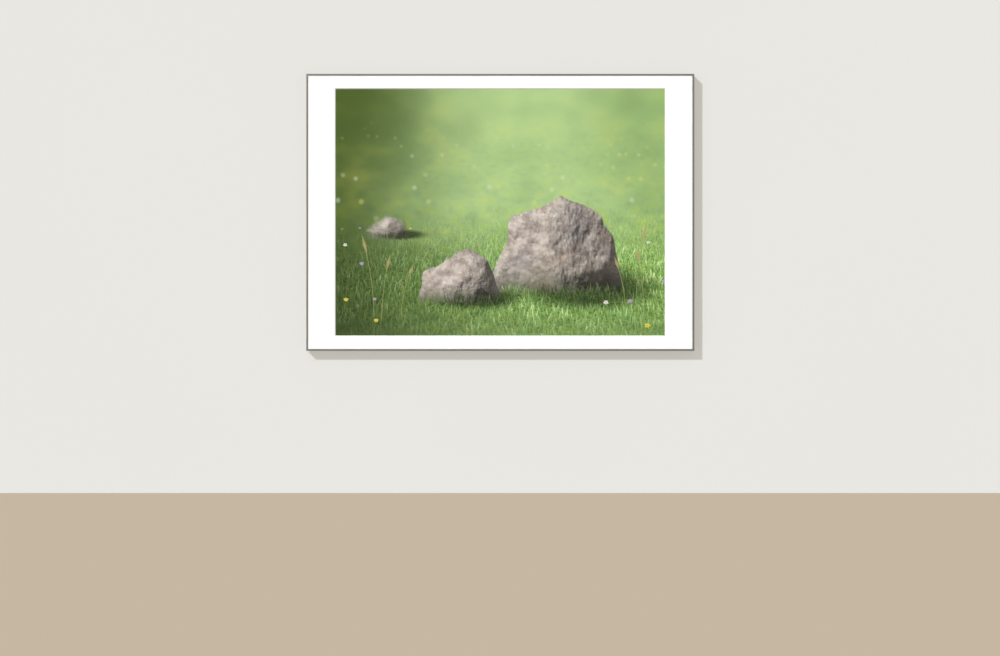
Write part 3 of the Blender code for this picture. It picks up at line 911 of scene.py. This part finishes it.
def boulder(g, x, y, covered, sizes, colour):
    """A boulder over the colour, half sunk in the grass that covers its foot."""
    centre, base, half_width, tall, softness, seed = sizes
    recipe = boulder_recipe(seed)
    p, q = (x - centre) / half_width, (y - base) / tall
    step = 0.013 + softness * 0.14
    (here,) = g.use(recipe, p, q)
    (right,) = g.use(recipe, p + step, q)
    (above,) = g.use(recipe, p, q + step)
    lean_x = (here - right) * (0.80 / step)
    lean_y = (here - above) * (0.80 / step * half_width / tall)
    size = g.math("SQRT", lean_x * lean_x + g.fused(lean_y, lean_y, 1.0))
    facing = (g.fused(lean_x, SUN_WAY[0], SUN_WAY[2]) + lean_y * SUN_WAY[1]) / size
    direct = g.ramp(-0.05, 1.0, facing)
    skylight = g.fused(lean_y / size, 0.14, 0.24)
    buried = g.smooth(-0.04, 0.22, q)
    light = (direct * 1.35 + skylight) * g.fused(buried, 0.55, 0.45)

    near = g.vector(p * half_width, q * tall, seed)
    mottle = g.noise(near, 22.0, 5.0, 0.65)
    stain = g.noise(near, 6.0, 3.0, 0.55)
    stone = g.mix(g.smooth(0.35, 0.65, mottle), srgb(140, 127, 120), srgb(186, 174, 166))
    stone = g.mix(g.smooth(0.5, 0.72, stain) * 0.45, stone, srgb(158, 134, 112))
    stone = g.mix(g.smooth(0.46, 0.28, stain) * 0.5, stone, srgb(134, 126, 132))
    spots = g.noise(near, 42.0, 3.0, 0.55)
    stone = g.mix(g.smooth(0.62, 0.69, spots) * 0.6, stone, srgb(208, 203, 188))
    stone = g.mix(g.smooth(0.36, 0.30, spots) * 0.5, stone, srgb(92, 84, 78))
    stone = g.mix(g.smooth(0.30, -0.05, q) * 0.35, stone, srgb(104, 122, 72))
    stone = g.shade(stone, light)
    foot = g.smooth(base - 0.022, base - 0.006, y)
    seen = g.smooth(0.0, softness, here) * foot * (1.0 - covered)
    return g.mix(seen, colour, stone)


def cast_shadow(g, x, y, sizes, amount):
    """Darkens the ground to the right of a boulder and round its foot."""
    centre, base, half_width, tall = sizes[:4]
    across = (x - centre - half_width * 0.45) * (1 / (half_width * 1.25))
    down = (y - base - 0.005) * (1 / (tall * 0.26))
    return amount * g.blend(g.smooth(1.0, 0.45, g.length(across, down)), 1.0, 0.22)


def flower_cell(g, x, y, seed):
    """How far across and up a point lies in its cell of the ground, and three chances for the cell."""
    depth = distance_in_rows(g, y, FLOWER_ROWS)
    row = g.floor(depth)
    u = (x - MIDDLE_X) / row_scale(g, row, FLOWER_ROWS) * FLOWER_ROWS + row * FLOWER_ROW_SHIFT
    column = g.floor(u)
    return u - column, depth - row, g.chance(column, row, seed)


def flowers(g, x, y, seed, colour):
    """Five-petalled flowers on thin stems, at most one in each cell of the ground."""
    yellow, white, lilac = srgb(250, 226, 92), srgb(250, 248, 238), srgb(198, 168, 214)
    u, v, (a, b, c) = flower_cell(g, x, y, seed)
    d, f = g.rolled(a, 61.7), g.rolled(c, 53.1)
    across = u - g.fused(a, 0.5, 0.25)
    up = v - g.fused(b, 0.35, 0.5)
    there = g.ramp(1.0 - FLOWER_SHARE, 1.005 - FLOWER_SHARE, c) * g.smooth(0.50, 0.40, y)

    stem = g.held((0.020 - abs(g.fused(up * up, 0.4, across))) * 70.0)
    stem = stem * g.smooth(0.0, -0.03, up) * g.smooth(-0.42, -0.20, up)
    colour = g.mix(stem * there * 0.8, colour, srgb(84, 118, 52))

    angle = g.math("ARCTAN2", up, across)
    away = g.length(across, up * 1.3) / g.fused(f, 0.35 * FLOWER_RADIUS, 0.8 * FLOWER_RADIUS)
    petals = abs(g.math("COSINE", g.fused(angle, 2.5, d * 6.0)))
    reach = g.fused(petals, 0.42, 0.58)
    cover = g.held(g.fused(reach - away, 5.0, 0.2)) * there
    petal = g.mix(g.ramp(0.52, 0.53, d), yellow, white)
    petal = g.mix(g.ramp(0.80, 0.81, d), petal, lilac)
    petal = g.shade(petal, g.fused(away, 0.25, 0.72) + up * 0.8)
    colour = g.mix(cover, colour, petal)
    heart = g.held(g.fused(0.24 - away, 7.0, 0.3)) * there
    return g.mix(heart, colour, srgb(214, 158, 40))


def far_flowers(g, x, y, seed, colour):
    """Pale discs of flowers far out of focus."""
    u, v, (a, b, c) = flower_cell(g, x, y, seed)
    across = u - g.fused(a, 0.4, 0.3)
    up = v - g.fused(b, 0.4, 0.3)
    there = g.ramp(0.76, 0.80, c) * g.smooth(0.40, 0.55, y) * g.smooth(0.95, 0.6, y)
    disc = g.smooth(0.28, 0.08, g.length(across, up))
    pale = g.mix(g.ramp(0.4, 0.6, a), srgb(226, 222, 130), srgb(226, 236, 206))
    return g.mix(disc * there * 0.30, colour, pale)


def stalks(g, x, y, colour):
    """Tall grass stalks with feathery heads."""
    for foot_x, foot_y, height, lean in STALKS:
        x, y = g.after(colour, x, y)
        t = (y - foot_y) * (1 / height)
        middle = g.fused(t * t, lean, foot_x)
        away = abs(x - middle)
        inside = g.smooth(0.0, 0.15, t) * g.smooth(1.0, 0.98, t)
        stem = g.held(g.fused(0.0016 - away, 500.0, 0.3)) * inside
        colour = g.mix(stem * 0.85, colour, srgb(150, 160, 92))
        feather = g.math("SINE", g.fused(away, -380.0, t * height * 900.0)) * 0.0022
        plume = g.fused(abs(t - 0.88), -0.075, 0.0088) + feather
        head = g.held((plume - away) * 260.0)
        grain = g.math("SINE", g.fused(away, 900.0, t * height * 1500.0))
        husk = g.mix(g.ramp(-1.0, 1.0, grain), srgb(142, 124, 76), srgb(214, 198, 140))
        colour = g.mix(head * 0.9, colour, husk)
    return colour


def lawn(g, x, y):
    """The nearer grass: its colour, and how far it covers what stands in it."""
    near_x, near_y = receding(g, x, y, 14.0)
    clump = g.noise(g.vector(near_x, near_y * 1.7, 9.0), 1.0, 2.0, 0.5)
    grain = g.noise(g.vector(near_x, near_y * 1.5, 2.0), 6.0, 2.0, 0.6)
    blade = blade_recipe()
    under = (g.ramp(0.35, 0.65, grain, 0.06, 0.45), grain, 0.0)
    under = grass(g, x, y, FAR_GRASS_ROWS, 1.0, blade, under)
    bright, tint, covered = grass(g, *g.after(under[0], x, y), NEAR_GRASS_ROWS, 5.0, blade, under)
    bright = bright * g.ramp(0.3, 0.7, clump, 0.68, 1.3)
    leaf = g.mix(g.smooth(0.02, 0.45, bright), srgb(58, 84, 36), srgb(124, 160, 80))
    leaf = g.mix(g.smooth(0.4, 0.95, bright), leaf, srgb(216, 234, 174))
    leaf = g.mix(g.smooth(0.55, 0.95, tint) * 0.35, leaf, srgb(180, 184, 92))
    leaf = g.mix(g.smooth(0.4, 0.1, tint) * 0.3, leaf, srgb(100, 156, 108))
    sunlit = g.ramp(0.0, 0.80, x - y * 0.15, 0.42, 1.50)
    leaf = g.shade(leaf, sunlit * g.smooth(-0.30, 0.26, y))
    return g.mix(g.smooth(0.75, 0.0, x) * 0.30, leaf, srgb(62, 70, 36)), covered


def meadow_print():
    """The picture on matt paper, which is white at its back and edges."""
    g = Graph("meadow_print")
    x, y = picture_place(g)
    shadow = 1.0
    for sizes in BOULDERS:
        shadow = cast_shadow(g, x, y, sizes, shadow)
    far = backdrop(g, x, y)
    leaf, covered = lawn(g, x, y)
    sharp = g.smooth(0.58, 0.25, y) * g.ramp(0.0, 0.12, y, 0.72, 1.0)
    colour = g.mix(sharp * 0.88, far, leaf)
    colour = g.shade(colour, shadow)
    colour = far_flowers(g, *g.after(colour, x, y), 6.0, colour)
    colour = flowers(g, *g.after(colour, x, y), 3.0, colour)
    for sizes in BOULDERS:
        colour = boulder(g, *g.after(colour, x, y), covered, sizes, colour)
    colour = stalks(g, x, y, colour)
    colour = g.shade(colour, 1 / PRINT_LIGHT)
    _, facing, _ = g.split(g.field("NewGeometry", "Normal", {}))
    colour = g.mix(g.ramp(-0.6, -0.4, facing), colour, srgb(240, 239, 235))
    g.feed(g.shader.inputs["Base Color"], colour)
    g.shader.inputs["Roughness"].default_value = 0.9
    g.shader.inputs["Specular IOR Level"].default_value = 0.15
    return g.material


# The room

def stage_sheet(name, corners, material):
    """A flat sheet that only the camera sees, so it doesn't light or shade the picture."""
    mesh = bpy.data.meshes.new(name)
    mesh.from_pydata(corners, [], [(0, 1, 2, 3)])
    mesh.materials.append(material)
    obj = bpy.data.objects.new(name, mesh)
    bpy.context.scene.collection.objects.link(obj)
    obj.visible_diffuse = obj.visible_glossy = obj.visible_transmission = obj.visible_shadow = False


def wall_paint():
    """Matt paint, seen from the room only, which glows a little so that shadows on it stay pale."""
    g = Graph("wall_paint")
    cloud = g.ramp(0.3, 0.7, g.noise(g.place(), 1.3, 2.0, 0.5), 0.995, 1.005)
    g.feed(g.shader.inputs["Base Color"], g.shade(WALL_COLOUR, cloud))
    g.shader.inputs["Emission Color"].default_value = WALL_GLOW
    g.shader.inputs["Emission Strength"].default_value = 1.0
    g.shader.inputs["Roughness"].default_value = 1.0
    g.shader.inputs["Specular IOR Level"].default_value = 0.0
    behind = g.field("NewGeometry", "Backfacing", {})
    nothing = g.field("BsdfTransparent", 0, {})
    painted = Field(g, g.shader.outputs[0])
    mixed = g.field("MixShader", 0, {0: behind, 1: painted, 2: nothing})
    g.feed(g.tree.nodes["Material Output"].inputs["Surface"], mixed)
    return g.material


def floor_finish():
    """A flat floor that takes no shadows."""
    g = Graph("floor_finish")
    g.shader.inputs["Base Color"].default_value = (0.0, 0.0, 0.0, 1.0)
    g.shader.inputs["Emission Color"].default_value = srgb(198, 183, 163)
    g.shader.inputs["Emission Strength"].default_value = 1.0
    g.shader.inputs["Specular IOR Level"].default_value = 0.0
    return g.material


def add_room(camera_at):
    """A wall behind the bumpers, and a floor that meets it on the photograph's line."""
    wall_y = FRAME_HIGH.y + WALL_CLEARANCE
    metres_at_wall = METRES_PER_PIXEL * (wall_y - camera_at.y) / (FRONT_Y - camera_at.y)
    floor_z = camera_at.z - (FLOOR_LINE_PIXEL - PHOTO_HEIGHT / 2) * metres_at_wall
    left, right = -ROOM_HALF_WIDTH, ROOM_HALF_WIDTH
    top = floor_z + ROOM_HEIGHT
    wall = [(left, wall_y, floor_z), (right, wall_y, floor_z), (right, wall_y, top), (left, wall_y, top)]
    stage_sheet("room_wall", wall, wall_paint())
    near, far = -ROOM_HALF_WIDTH, ROOM_HALF_WIDTH
    floor = [(left, near, floor_z), (right, near, floor_z), (right, far, floor_z), (left, far, floor_z)]
    stage_sheet("room_floor", floor, floor_finish())


def add_sun(name, way, strength, angle, colour):
    """Distant light that shines the given way."""
    sun = bpy.data.lights.new(name, "SUN")
    sun.energy = strength
    sun.angle = math.radians(angle)
    sun.color = colour
    lamp = bpy.data.objects.new(name, sun)
    lamp.rotation_mode = "QUATERNION"
    lamp.rotation_quaternion = way.to_track_quat("-Z", "Y")
    bpy.context.scene.collection.objects.link(lamp)


def add_light():
    """Light from all round, from a window at the upper left, and from behind for the views of the back."""
    world = bpy.data.worlds.new("room_light")
    bpy.context.scene.world = world
    world.use_nodes = True
    background = world.node_tree.nodes["Background"]
    background.inputs["Color"].default_value = FILL_COLOUR
    background.inputs["Strength"].default_value = FILL_STRENGTH
    add_sun("window_light", WINDOW_LIGHT_WAY, WINDOW_LIGHT_STRENGTH, WINDOW_LIGHT_ANGLE, WINDOW_LIGHT_COLOUR)
    add_sun("back_light", BACK_LIGHT_WAY, BACK_LIGHT_STRENGTH, BACK_LIGHT_ANGLE, BACK_LIGHT_COLOUR)


def add_camera():
    """Stands square to the wall, where the picture frame falls on the same pixels as in the photograph."""
    distance = LENS / SENSOR * PHOTO_WIDTH * METRES_PER_PIXEL
    camera = bpy.data.cameras.new("camera")
    camera.lens = LENS
    camera.sensor_width = SENSOR
    obj = bpy.data.objects.new("camera", camera)
    x = CENTRE.x + (PHOTO_WIDTH / 2 - FRAME_CENTRE_PIXEL[0]) * METRES_PER_PIXEL
    z = CENTRE.z + (FRAME_CENTRE_PIXEL[1] - PHOTO_HEIGHT / 2) * METRES_PER_PIXEL
    obj.location = (x, FRONT_Y - distance, z)
    obj.rotation_euler = (math.pi / 2, 0, 0)
    bpy.context.scene.collection.objects.link(obj)
    bpy.context.scene.camera = obj
    return Vector(obj.location)


# Putting it together

def add_frame():
    """The rails. Those on the window's side cast no shadow, so that the mat looks even right up to them."""
    level = brushed_aluminium("anodised_along_x", True)
    upright = brushed_aluminium("anodised_along_z", False)
    for side, metal in (("top", level), ("bottom", level), ("left", upright), ("right", upright)):
        dress(f"rail_{side}", metal)
    for side in ("top", "left"):
        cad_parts[f"rail_{side}"].visible_shadow = False


def add_sheets():
    """The glass, mat, print and backing board."""
    dress("glass_pane", clear_glass())
    dress("mat_board", mat_paper())
    dress("backing_board", hardboard())
    piece("print_sheet", print_mesh(), meadow_print(), "printed_sheet")


def add_fittings():
    """The corner keys, springs, screws, bumpers and hanger."""
    zinc, blued, rubber = zinc_plate(), blued_steel(), black_rubber()
    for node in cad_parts:
        if node.startswith("key_"):
            dress(node, zinc)
        elif node.startswith("spring_"):
            upright = "left" in node or "right" in node
            piece(f"{node}_strip", spring_mesh(node, upright), blued, node)
        elif node.startswith("hanger_screw_"):
            piece(f"{node}_turned", screw_mesh(node), zinc, node)
        elif node.startswith("bumper_"):
            piece(f"{node}_dome", bumper_mesh(node), rubber, node)
    piece("hanger_plate", hanger_mesh(), zinc, "hanger")


def main():
    add_frame()
    add_sheets()
    add_fittings()
    add_room(add_camera())
    add_light()
    bpy.context.scene.view_settings.view_transform = "Standard"


main()
